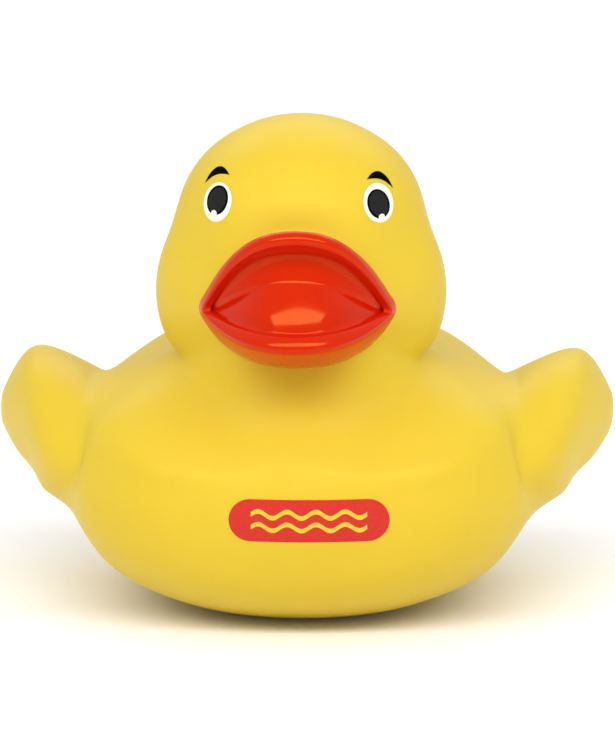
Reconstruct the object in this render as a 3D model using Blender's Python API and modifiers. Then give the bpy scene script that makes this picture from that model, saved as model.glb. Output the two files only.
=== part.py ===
"""A hollow vinyl bath duck with spread wings, open lips and a squeaker pressed into its base.

The duck is one rotational moulding: body, tail, head, bill and both wings are a single skin of
even wall. The skin is drawn as half a cage of four-sided faces: a body lofted from chest to tail,
a head raised out of the shoulders, a wing pulled out of the flank and a bill pulled out of the
face. Mirror closes the cage and Subdivision Surface smooths it. The duck faces -Y, stands on
z = 0 and is centred on the origin. Units are metres.
"""

import math

import bmesh
import bpy
from mathutils import Vector

# Body
BODY_WIDTH = 0.0692
BODY_FRONT = -0.0341
BODY_LENGTH = 0.0596
CHEST_BULGE = 0.0011
WATERLINE = 0.0190
BACK_RISE = 0.0222
HULL_DROP = 0.0195
BODY_FULLNESS = 2.17

# Tail
TAIL_LENGTH = 0.0175
TAIL_RISE = 0.0160
TAIL_WIDTH = 0.0290
TAIL_THICKNESS = 0.0190

# Neck and head
NECK_WIDTH = 0.0370
NECK_DEPTH = 0.0375
NECK_Y = -0.0112
NECK_GROOVE = 0.0004
HEAD_WIDTH = 0.0415
HEAD_DEPTH = 0.0415
HEAD_Y = -0.0110
HEAD_BASE = 0.0380
HEAD_TOP = 0.0715
NAPE_RISE = 0.0070

# Bill
BILL_WIDTH = 0.0274
BILL_HEIGHT = 0.0461
BILL_RISE = 0.0116
BILL_DROP = 0.0084
UPPER_LIP_REACH = 0.0070
LOWER_LIP_REACH = 0.0104
MOUTH_ARCH = 0.0042

# Wing
WING_REACH = 0.0104
WING_Y = 0.0000
WING_HEIGHT = 0.0228
WING_CHORD = 0.0385
WING_THICKNESS = 0.0206
WING_SWEEP = 0.0105
WING_LIFT = 0.0036
WING_KNOB = 0.0012

# Shell and squeaker seat
WALL = 0.0022
HOLE_RADIUS = 0.0050
SEAT_THICKNESS = 0.0022
SEAT_RADIUS = 0.0092
CLEARANCE = 0.0003

# Squeaker
FLANGE_RADIUS = 0.0066
FLANGE_THICKNESS = 0.0010
FLANGE_SINK = 0.0003
BARREL_LENGTH = 0.0085
BARREL_WALL = 0.0011
BARB_PROUD = 0.0006
BARB_LENGTH = 0.0016
BARB_EDGE = 0.0004
CUP_EDGE = 0.0003
WEB_THICKNESS = 0.0010
VENT_RADIUS = 0.0016
BLOCK_THICKNESS = 0.0014
STEM_RADIUS = 0.0017
STEM_LENGTH = 0.0050
CHANNEL_WIDTH = 0.0012
REED_WIDTH = 0.0024
REED_THICKNESS = 0.0003

# Mesh
SKIN_LEVELS = 2
CORE_LEVELS = 1
SKIN_RATIO = 0.46
CORE_RATIO = 0.55
SETTLE_PASSES = 8
WING_CREASE = 0.4
MOUTH_CREASE = 0.4
TURN_STEPS = 40
SHARP_ANGLE = 30.0
MERGE_DISTANCE = 0.00001

# Body sections from chest to rump: place along the body, then shares of the half width, of the
# back's rise and of the hull's drop, and the waterline's own lift as a share of the rise
BODY_SECTIONS = (
    (0.00, 0.420, 0.360, 0.460, 0.000),
    (0.07, 0.700, 0.610, 0.755, 0.000),
    (0.20, 0.885, 0.820, 0.920, 0.000),
    (0.36, 0.980, 0.955, 0.990, 0.000),
    (0.52, 1.000, 1.000, 1.000, 0.000),
    (0.68, 0.990, 0.988, 1.000, 0.000),
    (0.80, 0.955, 0.945, 0.996, 0.005),
    (0.90, 0.900, 0.870, 0.970, 0.015),
    (1.00, 0.795, 0.760, 0.880, 0.040),
)
# Tail sections behind the body: shares of the tail's length, rise, width and thickness, and the
# lean backwards in degrees
TAIL_SECTIONS = (
    (0.31, 0.20, 1.45, 1.42, 14),
    (0.60, 0.52, 1.00, 1.00, 26),
    (0.82, 0.82, 0.60, 0.62, 38),
    (0.94, 0.97, 0.30, 0.34, 46),
)

# Head rings from the neck to the crown: level, where -1 is the head's base, 0 the mouth corners, 1
# the bill's top and 2 the crown, and the shares of the width and of the depth
HEAD_RINGS = (
    (-1.00, 0.868, 0.790),
    (-0.46, 0.967, 0.890),
    (0.05, 0.994, 0.965),
    (0.44, 0.957, 1.000),
    (0.83, 0.876, 0.980),
    (1.26, 0.801, 0.890),
    (1.63, 0.624, 0.700),
    (1.88, 0.380, 0.420),
)

# Curves of the bill's outline over and under the corners: how square, and how pointed at the ends
BILL_CURVES = ((2.4, 0.9), (2.5, 0.7))
# Points round half the bill from the chin to the brow, as shares of its half width
BILL_SHARES = (0.0, 0.42, 0.75, 0.94, 1.0, 0.93, 0.72, 0.40, 0.0)
# Bill rings from the fillet on the face, out over the lip and into the mouth: shares of the
# width, of the upper rise and reach, of the lower drop and reach, and of the reach at the corners
BILL_RINGS = (
    (0.992, 1.005, 0.30, 0.945, -0.08, 0.10),
    (0.980, 1.020, 0.80, 0.620, 0.74, 0.26),
    (0.950, 0.950, 1.04, 0.420, 1.00, 0.38),
    (0.910, 0.830, 1.00, 0.290, 1.00, 0.40),
    (0.870, 0.720, 0.74, 0.215, 0.80, 0.33),
    (0.835, 0.620, 0.52, 0.125, 0.66, 0.26),
)
# Roof, mouth line and tongue inside the lips: share of the arch, and of the lower reach at the
# middle and half way to the corner
MOUTH_HALF_WAY = 0.55
MOUTH_ROWS = (
    (0.16, 0.60, 0.47),
    (1.00, 0.20, 0.20),
    (1.36, 0.27, 0.25),
)

# Wing rings from the flank to the tip: share of the way out, back and up, of the chord, of the
# half thickness above and below, of the knob, and how far the top leans in over the bottom
WING_RINGS = (
    (0.05, 0.24, 0.08, 0.96, 0.90, 0.78, 0.7, 0.22),
    (0.40, 0.60, 0.68, 0.85, 0.83, 0.82, 0.7, 0.04),
    (0.70, 0.93, 0.86, 0.63, 0.64, 0.70, 0.2, 0.00),
    (0.92, 1.06, 0.78, 0.36, 0.31, 0.36, 0.0, 0.00),
)

# Where the limbs leave the body's grid of faces
AROUND = 10
NECK_SECTIONS = (1, 5)
NECK_ROW = 8
WING_SECTIONS = (3, 7)
WING_ROWS = (4, 7)
HEAD_AROUND = 8
BILL_HEAD_RINGS = (0, 4)
BILL_COLUMNS = 2


def clear():
    for thing in list(bpy.data.objects):
        bpy.data.objects.remove(thing, do_unlink=True)


def make_collection(name):
    collection = bpy.data.collections.new(name)
    bpy.context.scene.collection.children.link(collection)
    return collection


def make_material(name, colour, roughness):
    material = bpy.data.materials.new(name)
    material.use_nodes = True
    shader = material.node_tree.nodes["Principled BSDF"]
    shader.inputs["Base Color"].default_value = (*colour, 1.0)
    shader.inputs["Roughness"].default_value = roughness
    material.diffuse_color = (*colour, 1.0)
    return material


def between(rows, at):
    """Read a table of rows sorted by their first number, straight between its rows."""
    at = min(max(at, rows[0][0]), rows[-1][0])
    for low, high in zip(rows, rows[1:]):
        if at <= high[0]:
            share = (at - low[0]) / (high[0] - low[0])
            return [a + (b - a) * share for a, b in zip(low, high)]
    return list(rows[-1])


def rounded(u, v):
    """Move a point of the square from -1 to 1 onto the disc of radius 1."""
    return u * math.sqrt(1.0 - v * v / 2.0), v * math.sqrt(1.0 - u * u / 2.0)


class Cage:
    """Half a cage at x >= 0: the points its smooth surface passes through, and its faces."""

    def __init__(self):
        self.points = []
        self.faces = []
        self.painted = set()
        self.creases = []
        self.loose = set()

    def add(self, x, y, z):
        self.points.append(Vector((x, y, z)))
        return len(self.points) - 1

    def move(self, index, x, y, z):
        self.points[index] = Vector((x, y, z))

    def face(self, corners, painted=False):
        if painted:
            self.painted.add(len(self.faces))
        self.faces.append(tuple(corners))

    def band(self, first, second, closed=False, painted=False, skip=()):
        """Join two rings of as many points with four-sided faces."""
        count = len(first) if closed else len(first) - 1
        for i in range(count):
            if i not in skip:
                j = (i + 1) % len(first)
                self.face((first[i], first[j], second[j], second[i]), painted)

    def grid(self, rows, painted=False):
        for first, second in zip(rows, rows[1:]):
            self.band(first, second, painted=painted)

    def half_cap(self, loop, rows, place, painted=False):
        """Close a half ring with a grid two columns wide, new points set by place(u, v)."""
        lines = [[loop[0], loop[1], loop[2]]]
        for row in range(1, rows):
            v = 2.0 * row / rows - 1.0
            lines.append([self.add(*place(0.0, v)), self.add(*place(0.5, v)), loop[row + 2]])
        lines.append([loop[-1], loop[-2], loop[-3]])
        self.grid(lines, painted)
        if not painted:
            self.loose.update(index for line in lines for index in line)
        return lines

    def settle(self, passes):
        """Find the cage whose smooth surface passes through the drawn points."""
        around = [set() for _ in self.points]
        across = [[] for _ in self.points]
        for corners in self.faces:
            for i, index in enumerate(corners):
                around[index].update((corners[i - 1], corners[(i + 1) % 4]))
                across[index].append(corners[(i + 2) % 4])
        targets = [point.copy() for point in self.points]
        on_plane = [abs(point.x) < 1e-7 for point in self.points]
        flip = Vector((-1.0, 1.0, 1.0))
        for _ in range(passes):
            moved = []
            for index, point in enumerate(self.points):
                if index in self.loose or not around[index]:
                    moved.append(point)
                    continue
                edges = [self.points[i] for i in around[index]]
                faces = [self.points[i] for i in across[index]]
                if on_plane[index]:
                    edges += [self.points[i] * flip for i in around[index] if not on_plane[i]]
                    faces += [other * flip for other in faces]
                n = len(edges)
                limit = (point * n * n + 4.0 * sum(edges, Vector()) + sum(faces, Vector()))
                limit /= n * (n + 5)
                fixed = point + targets[index] - limit
                if on_plane[index]:
                    fixed.x = 0.0
                moved.append(fixed)
            self.points = moved

    def mesh(self, name):
        """Turn the cage into a mesh with its faces outward."""
        shell = bmesh.new()
        corners = [shell.verts.new(point) for point in self.points]
        for number, face in enumerate(self.faces):
            made = shell.faces.new([corners[i] for i in face])
            made.material_index = 1 if number in self.painted else 0
            made.smooth = True
        unused = [corner for corner in corners if not corner.link_faces]
        bmesh.ops.recalc_face_normals(shell, faces=shell.faces)
        if shell.calc_volume(signed=True) < 0.0:
            bmesh.ops.reverse_faces(shell, faces=shell.faces)
        crease = shell.edges.layers.float.new("crease_edge")
        for a, b, amount in self.creases:
            edge = shell.edges.get((corners[a], corners[b]))
            edge[crease] = amount
        bmesh.ops.delete(shell, geom=unused, context="VERTS")
        made = bpy.data.meshes.new(name)
        shell.to_mesh(made)
        shell.free()
        return made


def full(share):
    """Height of a rounded section at a share of its half width, a little fuller than a circle."""
    return max(0.0, 1.0 - abs(share) ** BODY_FULLNESS) ** (1.0 / BODY_FULLNESS)


def body_section(y):
    """Half width, back rise, hull drop and waterline of the body at a place along it."""
    share = (y - BODY_FRONT) / BODY_LENGTH
    _, width, rise, drop, lift = between(BODY_SECTIONS, share)
    return (width * BODY_WIDTH / 2.0, rise * BACK_RISE, drop * HULL_DROP,
            WATERLINE + lift * BACK_RISE)


def body_top(x, y):
    half, rise, _, line = body_section(y)
    return line + rise * full(x / half)


def flank(y, z):
    half, rise, drop, line = body_section(y)
    return half * full((z - line) / (rise if z > line else drop))


def head_height(level):
    """Height of a level of the head, which stretches and closes up round the bill."""
    marks = ((-1.0, HEAD_BASE), (0.0, BILL_HEIGHT), (1.0, BILL_HEIGHT + BILL_RISE), (2.0, HEAD_TOP))
    return between(marks, level)[1]


def head_ring(z):
    """Half width and half depth of the head at a height."""
    rows = [(head_height(level), width, depth) for level, width, depth in HEAD_RINGS]
    _, width, depth = between(rows, z)
    return width * HEAD_WIDTH / 2.0, depth * HEAD_DEPTH / 2.0


def face_y(x, z):
    """Front of the head at a place across and up it."""
    half, depth = head_ring(z)
    return HEAD_Y - depth * math.sqrt(max(0.0, 1.0 - (x / half) ** 2))


def bill_outline(share, rise, drop, upper):
    """Height over the mouth corners of a point of the bill's outline."""
    square, point = BILL_CURVES[0 if upper else 1]
    return (rise if upper else -drop) * (1.0 - share ** square) ** point


def draw_body(cage):
    """Loft the body and tail, leaving out the faces that the neck and wing grow from."""
    rings = []
    for place, *_ in BODY_SECTIONS:
        y = BODY_FRONT + place * BODY_LENGTH
        half, rise, drop, line = body_section(y)
        ring = []
        for row in range(AROUND + 1):
            angle = math.pi * row / AROUND
            across = math.sin(angle) ** (2.0 / BODY_FULLNESS)
            up = math.copysign(abs(math.cos(angle)) ** (2.0 / BODY_FULLNESS), row - AROUND / 2)
            ring.append(cage.add(half * across, y, line + up * (rise if up > 0.0 else drop)))
        rings.append(ring)
    rump = BODY_FRONT + BODY_LENGTH
    for length, lift, width, thickness, lean in TAIL_SECTIONS:
        lean = math.radians(lean)
        ring = []
        for row in range(AROUND + 1):
            angle = math.pi * row / AROUND
            up = -math.cos(angle) * thickness * TAIL_THICKNESS / 2.0
            ring.append(cage.add(
                width * TAIL_WIDTH / 2.0 * math.sin(angle),
                rump + length * TAIL_LENGTH - up * math.sin(lean),
                WATERLINE + lift * TAIL_RISE + up * math.cos(lean)))
        rings.append(ring)

    neck = range(NECK_SECTIONS[0], NECK_SECTIONS[1])
    wing = range(WING_SECTIONS[0], WING_SECTIONS[1])
    for number, (first, second) in enumerate(zip(rings, rings[1:])):
        skip = set()
        if number in neck:
            skip.update(range(NECK_ROW, AROUND))
        if number in wing:
            skip.update(range(*WING_ROWS))
        cage.band(first, second, skip=skip)
    return rings


def close_body(cage, rings):
    """Cap the chest and the tail tip."""
    half, rise, drop, line = body_section(BODY_FRONT)

    def chest(u, v):
        across, up = rounded(u, v)
        bulge = 1.0 - across ** 2 - up ** 2
        return across * half, BODY_FRONT - CHEST_BULGE * bulge, line + up * (rise if up > 0 else drop)

    cage.half_cap(rings[0], 6, chest)

    length, lift, width, thickness, lean = TAIL_SECTIONS[-1]
    lean = math.radians(lean)
    rump = BODY_FRONT + BODY_LENGTH
    tip = (1.0 - length) * TAIL_LENGTH

    def tail(u, v):
        across, up = rounded(u, v)
        out = tip * (1.0 - across ** 2 - up ** 2)
        up *= thickness * TAIL_THICKNESS / 2.0
        return (across * width * TAIL_WIDTH / 2.0,
                rump + length * TAIL_LENGTH - up * math.sin(lean) + out * math.cos(lean),
                WATERLINE + lift * TAIL_RISE + up * math.cos(lean)
                + out * math.sin(lean))

    cage.half_cap(rings[-1], 6, tail)


def draw_head(cage, rings, with_bill):
    """Raise the head out of the shoulders; with_bill leaves its faces out of the front."""
    first, last = NECK_SECTIONS
    loop = [rings[first][row] for row in range(AROUND, NECK_ROW - 1, -1)]
    loop += [rings[section][NECK_ROW] for section in range(first + 1, last)]
    loop += [rings[last][row] for row in range(NECK_ROW, AROUND + 1)]
    for place, index in enumerate(loop):
        angle = math.pi * place / HEAD_AROUND
        x = NECK_WIDTH / 2.0 * math.sin(angle)
        y = NECK_Y - NECK_DEPTH / 2.0 * math.cos(angle)
        cage.move(index, x if 0 < place < HEAD_AROUND else 0.0, y, body_top(x, y) - NECK_GROOVE)

    head = [loop]
    for level, _, _ in HEAD_RINGS:
        z = head_height(level)
        fade = (HEAD_TOP - z) / (HEAD_TOP - HEAD_BASE)
        ring = []
        for place in range(HEAD_AROUND + 1):
            angle = math.pi * place / HEAD_AROUND
            behind = (1.0 - math.cos(angle)) / 2.0
            height = z + NAPE_RISE * behind ** 2 * fade ** 2
            half, depth = head_ring(height)
            x = half * math.sin(angle) if 0 < place < HEAD_AROUND else 0.0
            ring.append(cage.add(x, HEAD_Y - depth * math.cos(angle), height))
        head.append(ring)

    for number, (low, high) in enumerate(zip(head, head[1:])):
        opened = with_bill and BILL_HEAD_RINGS[0] < number <= BILL_HEAD_RINGS[1]
        cage.band(low, high, skip=range(BILL_COLUMNS) if opened else ())

    edge = head_height(HEAD_RINGS[-1][0])
    half, depth = head_ring(edge)

    def crown(u, v):
        across, along = rounded(u, v)
        top = edge + (HEAD_TOP - edge) * (1.0 - across ** 2 - along ** 2)
        return across * half, HEAD_Y + along * depth, top

    cage.half_cap(head[-1], 4, crown)
    return head[1:]


def draw_bill(cage, head):
    """Pull the bill out of the face: over the lips, into the mouth and across the tongue."""
    low, high = BILL_HEAD_RINGS
    loop = [head[low][column] for column in range(BILL_COLUMNS + 1)]
    loop += [head[ring][BILL_COLUMNS] for ring in range(low + 1, high)]
    loop += [head[high][column] for column in range(BILL_COLUMNS, -1, -1)]
    corner = len(BILL_SHARES) // 2
    half = BILL_WIDTH / 2.0
    for place, (index, share) in enumerate(zip(loop, BILL_SHARES)):
        z = BILL_HEIGHT + bill_outline(share, BILL_RISE, BILL_DROP, place > corner)
        cage.move(index, half * share, face_y(half * share, z), z)

    top = face_y(0.0, BILL_HEIGHT + BILL_RISE)
    side = face_y(half, BILL_HEIGHT)
    previous = loop
    for width, rise, upper_reach, drop, lower_reach, side_reach in BILL_RINGS:
        ring = []
        for place, share in enumerate(BILL_SHARES):
            upper = place > corner
            middle = top - (upper_reach * UPPER_LIP_REACH if upper else lower_reach * LOWER_LIP_REACH)
            edge = side - side_reach * UPPER_LIP_REACH
            y = middle + (edge - middle) * share ** 2
            z = BILL_HEIGHT + bill_outline(share, rise * BILL_RISE, drop * BILL_DROP, upper)
            ring.append(cage.add(half * width * share, y, z))
        cage.band(previous, ring, painted=True)
        previous = ring

    rows = {-0.5: MOUTH_ROWS[0], 0.0: MOUTH_ROWS[1], 0.5: MOUTH_ROWS[2]}
    width = half * BILL_RINGS[-1][0]

    def mouth(u, v):
        arch, centre, middle = rows[v]
        x = MOUTH_HALF_WAY * width if u else 0.0
        y = (top + (side - top) * (x / width) ** 2) - LOWER_LIP_REACH * (middle if u else centre)
        return x, y, BILL_HEIGHT + MOUTH_ARCH * arch * (1.0 - (x / width) ** 2)

    lines = cage.half_cap(previous, 4, mouth, painted=True)
    for a, b in zip(lines[2], lines[2][1:]):
        cage.creases.append((a, b, MOUTH_CREASE))


def draw_wing(cage, rings):
    """Pull a wing out of the flank, swept back and up to a knob at its tip."""
    (first, last), (low, high) = WING_SECTIONS, WING_ROWS
    chordwise, upright = last - first, high - low
    loop, places = [], []
    for section in range(first, last):
        loop.append(rings[section][low])
        places.append((2.0 * (section - first) / chordwise - 1.0, -1.0))
    for row in range(low, high):
        loop.append(rings[last][row])
        places.append((1.0, 2.0 * (row - low) / upright - 1.0))
    for section in range(last, first, -1):
        loop.append(rings[section][high])
        places.append((2.0 * (section - first) / chordwise - 1.0, 1.0))
    for row in range(high, low, -1):
        loop.append(rings[first][row])
        places.append((-1.0, 2.0 * (row - low) / upright - 1.0))

    for index, (u, v) in zip(loop, places):
        along, up = rounded(u, v)
        y = WING_Y + along * WING_CHORD / 2.0
        z = WING_HEIGHT + up * WING_THICKNESS / 2.0
        cage.move(index, flank(y, z), y, z)
    for (a, above), (b, beyond) in zip(zip(loop, places), zip(loop[1:], places[1:])):
        if above[1] == beyond[1] == 1.0:
            cage.creases.append((a, b, WING_CREASE))

    root = BODY_WIDTH / 2.0

    def spot(ring, u, v, out=0.0):
        outward, back, lift, chord, rise, drop, knob, lean = ring
        along, up = rounded(u, v)
        thick = (rise if up > 0.0 else drop) * WING_THICKNESS / 2.0
        raised = knob * WING_KNOB * max(0.0, up)
        return (root + WING_REACH * (outward - lean * up + out * (1.0 - along ** 2 - up ** 2)),
                WING_Y + back * WING_SWEEP + along * chord * WING_CHORD / 2.0,
                WING_HEIGHT + lift * WING_LIFT + up * thick + raised)

    previous = loop
    for ring in WING_RINGS:
        made = [cage.add(*spot(ring, u, v)) for u, v in places]
        cage.band(previous, made, closed=True)
        previous = made

    tip = WING_RINGS[-1]
    known = dict(zip(places, previous))
    lines = []
    for row in range(upright + 1):
        v = 2.0 * row / upright - 1.0
        line = []
        for column in range(chordwise + 1):
            u = 2.0 * column / chordwise - 1.0
            inside = 0 < row < upright and 0 < column < chordwise
            line.append(cage.add(*spot(tip, u, v, 1.0 - tip[0])) if inside else known[(u, v)])
        lines.append(line)
    cage.grid(lines)


def draw_duck(with_bill=True):
    """Draw the whole half cage; without the bill it is the shape of the hollow."""
    cage = Cage()
    rings = draw_body(cage)
    close_body(cage, rings)
    head = draw_head(cage, rings, with_bill)
    if with_bill:
        draw_bill(cage, head)
    draw_wing(cage, rings)
    cage.settle(SETTLE_PASSES)
    return cage


def place(name, mesh, collection, materials=()):
    for material in materials:
        mesh.materials.append(material)
    thing = bpy.data.objects.new(name, mesh)
    collection.objects.link(thing)
    return thing


def smooth(thing, levels):
    mirror = thing.modifiers.new("Mirror", "MIRROR")
    mirror.use_axis = (True, False, False)
    mirror.use_clip = True
    mirror.merge_threshold = MERGE_DISTANCE
    surface = thing.modifiers.new("Subdivision", "SUBSURF")
    surface.levels = levels
    surface.render_levels = levels


def thin_out(thing, ratio):
    thinner = thing.modifiers.new("Decimate", "DECIMATE")
    thinner.ratio = ratio
    thinner.use_symmetry = True
    thinner.symmetry_axis = "X"


def cut(thing, cutter, name, operation="DIFFERENCE"):
    boolean = thing.modifiers.new(name, "BOOLEAN")
    boolean.operation = operation
    boolean.solver = "EXACT"
    boolean.object = cutter
    cutter.hide_render = True
    cutter.display_type = "WIRE"


def turned(name, profile, collection, materials=()):
    """Turn a profile of (radius, height) points round Z; a hole through it leaves a closed loop."""
    shape = bmesh.new()
    corners = [shape.verts.new((radius, 0.0, height)) for radius, height in profile]
    for a, b in zip(corners, corners[1:]):
        shape.edges.new((a, b))
    if profile[0][0] > 0.0:
        shape.edges.new((corners[-1], corners[0]))
    bmesh.ops.spin(shape, geom=shape.verts[:] + shape.edges[:], cent=(0.0, 0.0, 0.0),
                   axis=(0.0, 0.0, 1.0), angle=math.tau, steps=TURN_STEPS)
    bmesh.ops.remove_doubles(shape, verts=shape.verts, dist=MERGE_DISTANCE)
    bmesh.ops.recalc_face_normals(shape, faces=shape.faces)
    mesh = bpy.data.meshes.new(name)
    shape.to_mesh(mesh)
    shape.free()
    mesh.shade_smooth()
    mesh.set_sharp_from_angle(angle=math.radians(SHARP_ANGLE))
    return place(name, mesh, collection, materials)


def box(name, low, high, collection):
    mesh = bpy.data.meshes.new(name)
    shape = bmesh.new()
    bmesh.ops.create_cube(shape, size=1.0)
    for corner in shape.verts:
        corner.co = Vector(b if c > 0 else a for a, b, c in zip(low, high, corner.co))
    shape.to_mesh(mesh)
    shape.free()
    return place(name, mesh, collection)


def make_body(parts, cutters, vinyl, paint):
    """The moulded skin, hollowed, trimmed flat underneath and bored for the squeaker."""
    skin = place("duck_body", draw_duck().mesh("duck_body"), parts, (vinyl, paint))
    smooth(skin, SKIN_LEVELS)
    thin_out(skin, SKIN_RATIO)

    core = place("hollow", draw_duck(with_bill=False).mesh("hollow"), cutters)
    smooth(core, CORE_LEVELS)
    inward = core.modifiers.new("Wall", "DISPLACE")
    inward.strength = -WALL
    inward.mid_level = 0.0
    thin_out(core, CORE_RATIO)
    seat_top = seat_height() + SEAT_THICKNESS
    seat = turned("seat", ((0.0, seat_top), (SEAT_RADIUS, seat_top), (SEAT_RADIUS, -WALL),
                           (0.0, -WALL)), cutters)
    cut(core, seat, "Seat")
    cut(skin, core, "Hollow")

    wide = BODY_WIDTH
    floor = box("floor", (-wide, -wide, -WALL), (wide, wide, 0.0), cutters)
    cut(skin, floor, "Floor")
    recess = turned("recess", ((0.0, seat_height()), (FLANGE_RADIUS + CLEARANCE, seat_height()),
                               (FLANGE_RADIUS + CLEARANCE, -WALL), (0.0, -WALL)), cutters)
    cut(skin, recess, "Recess")
    hole = turned("hole", ((0.0, seat_top + WALL), (HOLE_RADIUS, seat_top + WALL),
                           (HOLE_RADIUS, -WALL), (0.0, -WALL)), cutters)
    cut(skin, hole, "Hole")
    return skin


def seat_height():
    """Height of the shelf in the base that the squeaker's flange lies under."""
    return FLANGE_SINK + FLANGE_THICKNESS + CLEARANCE


def make_cup(parts, plastic):
    """The squeaker's cup: flange, neck through the wall, barb that snaps behind it, barrel."""
    neck = HOLE_RADIUS - CLEARANCE
    bore = neck - BARREL_WALL
    flange_top = FLANGE_SINK + FLANGE_THICKNESS
    barb = seat_height() + SEAT_THICKNESS + CLEARANCE
    top = FLANGE_SINK + BARREL_LENGTH
    turned("squeaker_cup", (
        (neck, top),
        (neck, barb + BARB_LENGTH),
        (HOLE_RADIUS + BARB_PROUD, barb + BARB_EDGE),
        (HOLE_RADIUS + BARB_PROUD, barb),
        (neck, barb),
        (neck, flange_top),
        (FLANGE_RADIUS, flange_top),
        (FLANGE_RADIUS, FLANGE_SINK + CUP_EDGE),
        (FLANGE_RADIUS - CUP_EDGE, FLANGE_SINK),
        (VENT_RADIUS + CUP_EDGE, FLANGE_SINK),
        (VENT_RADIUS, FLANGE_SINK + CUP_EDGE),
        (VENT_RADIUS, FLANGE_SINK + WEB_THICKNESS),
        (bore, FLANGE_SINK + WEB_THICKNESS),
        (bore, top),
    ), parts, (plastic,))


def make_reed(parts, cutters, plastic, film):
    """The reed block dropped into the cup, its channelled stem, and the reed laid on the flat."""
    bore = HOLE_RADIUS - CLEARANCE - BARREL_WALL
    base = FLANGE_SINK + WEB_THICKNESS + CLEARANCE
    shelf = base + BLOCK_THICKNESS
    top = shelf + STEM_LENGTH
    block = turned("squeaker_reed_block", (
        (0.0, top),
        (STEM_RADIUS, top),
        (STEM_RADIUS, shelf),
        (bore - CLEARANCE, shelf),
        (bore - CLEARANCE, base),
        (0.0, base),
    ), parts, (plastic,))
    flat = box("stem_flat", (-bore, 0.0, shelf), (bore, bore, top + WALL), cutters)
    cut(block, flat, "Flat")
    channel = box("stem_channel", (-CHANNEL_WIDTH / 2.0, -STEM_RADIUS / 2.0, base - WALL),
                  (CHANNEL_WIDTH / 2.0, CLEARANCE, top - CHANNEL_WIDTH), cutters)
    cut(block, channel, "Channel")
    reed = box("squeaker_reed",
               (-REED_WIDTH / 2.0, CLEARANCE, shelf + CLEARANCE),
               (REED_WIDTH / 2.0, CLEARANCE + REED_THICKNESS, top), parts)
    reed.data.materials.append(film)


def centre(skin, things):
    """Slide everything along Y until the duck's overall length is centred on the origin."""
    bpy.context.view_layer.update()
    corners = skin.evaluated_get(bpy.context.evaluated_depsgraph_get()).bound_box
    places = [corner[1] for corner in corners]
    for thing in things:
        thing.location.y = -(min(places) + max(places)) / 2.0


def main():
    clear()
    parts = make_collection("rubber_duck")
    cutters = make_collection("cutters")
    vinyl = make_material("vinyl_yellow", (0.90, 0.60, 0.05), 0.35)
    paint = make_material("bill_paint", (0.72, 0.02, 0.004), 0.15)
    plastic = make_material("squeaker_plastic", (0.85, 0.85, 0.82), 0.35)
    film = make_material("reed_film", (0.80, 0.78, 0.70), 0.30)
    skin = make_body(parts, cutters, vinyl, paint)
    make_cup(parts, plastic)
    make_reed(parts, cutters, plastic, film)
    centre(skin, list(parts.objects) + list(cutters.objects))


main()
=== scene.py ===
"""A yellow vinyl bath duck with a sprayed red bill, printed eyes and a squeaker in its base.

The duck faces -Y and stands on z = 0. Units are metres.
"""

import math

import bmesh
import bpy
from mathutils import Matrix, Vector
from mathutils.kdtree import KDTree


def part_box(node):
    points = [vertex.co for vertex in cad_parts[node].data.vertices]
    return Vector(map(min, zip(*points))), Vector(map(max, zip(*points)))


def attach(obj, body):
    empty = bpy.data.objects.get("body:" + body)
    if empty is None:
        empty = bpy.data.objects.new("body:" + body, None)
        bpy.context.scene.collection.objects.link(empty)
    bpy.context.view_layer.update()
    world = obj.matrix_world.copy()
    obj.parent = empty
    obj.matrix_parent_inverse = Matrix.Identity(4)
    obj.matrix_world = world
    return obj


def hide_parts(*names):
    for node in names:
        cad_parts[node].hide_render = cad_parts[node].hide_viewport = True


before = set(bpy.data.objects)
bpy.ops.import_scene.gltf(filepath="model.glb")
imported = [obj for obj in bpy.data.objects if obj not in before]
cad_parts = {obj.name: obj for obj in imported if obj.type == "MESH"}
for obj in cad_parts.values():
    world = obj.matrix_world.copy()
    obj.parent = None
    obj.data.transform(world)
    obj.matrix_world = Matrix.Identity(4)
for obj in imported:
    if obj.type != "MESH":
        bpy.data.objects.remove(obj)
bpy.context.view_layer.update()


# The skin
# The whole duck, from chest to tail and wing tip to wing tip, is one hollow moulding of soft
# vinyl, cast by turning paste in a hot mould, so every form runs into the next with no seam and
# the surface keeps a satin bloom. It is drawn as half a cage, mirrored and subdivided.

# Body
BODY_WIDTH = 0.0692
BODY_FRONT = -0.0341
BODY_LENGTH = 0.0596
CHEST_BULGE = 0.0025
WATERLINE = 0.0190
BACK_RISE = 0.0218
HULL_DROP = 0.0195
BODY_FULLNESS = 2.17

# Tail
TAIL_LENGTH = 0.0175
TAIL_RISE = 0.0160
TAIL_WIDTH = 0.0290
TAIL_THICKNESS = 0.0190

# Neck and head
NECK_WIDTH = 0.0370
NECK_DEPTH = 0.0375
NECK_Y = -0.0112
NECK_GROOVE = 0.0004
HEAD_WIDTH = 0.0415
HEAD_DEPTH = 0.0415
HEAD_Y = -0.0110
HEAD_BASE = 0.0380
HEAD_TOP = 0.0715
NAPE_RISE = 0.0070

# Bill
BILL_WIDTH = 0.0274
BILL_HEIGHT = 0.0461
BILL_RISE = 0.0114
BILL_DROP = 0.0084
UPPER_LIP_REACH = 0.0070
LOWER_LIP_REACH = 0.0104
MOUTH_ARCH = 0.0045

# Wing
WING_REACH = 0.0104
WING_Y = 0.0000
WING_HEIGHT = 0.0228
WING_CHORD = 0.0385
WING_THICKNESS = 0.0206
WING_SWEEP = 0.0105
WING_LIFT = 0.0036
WING_KNOB = 0.0012

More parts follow.
